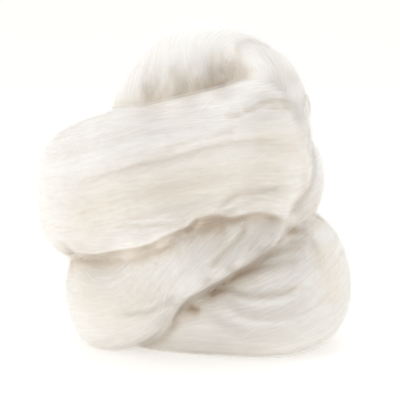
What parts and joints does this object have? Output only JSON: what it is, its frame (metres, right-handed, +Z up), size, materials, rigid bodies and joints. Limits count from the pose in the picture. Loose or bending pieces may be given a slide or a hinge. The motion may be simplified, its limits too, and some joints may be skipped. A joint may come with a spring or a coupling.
{
  "type": "wool roving",
  "caption": "Soft heap of a thick combed wool strand, wound round and over itself with its end tucked into the middle, for felting or spinning.",
  "frame": {"origin": "middle of the heap's footprint, on the surface that it rests on", "axes": "+Z up, -Y the front with the wide band across it, +X to the right of someone who looks at the front"},
  "size_m": [0.1417, 0.1191, 0.1446],
  "materials": {
    "combed_wool": "undyed cream combed wool, soft, matt and slightly silky"
  },
  "bodies": {
    "root": {"roving": "combed_wool"}
  },
  "joints": []
}
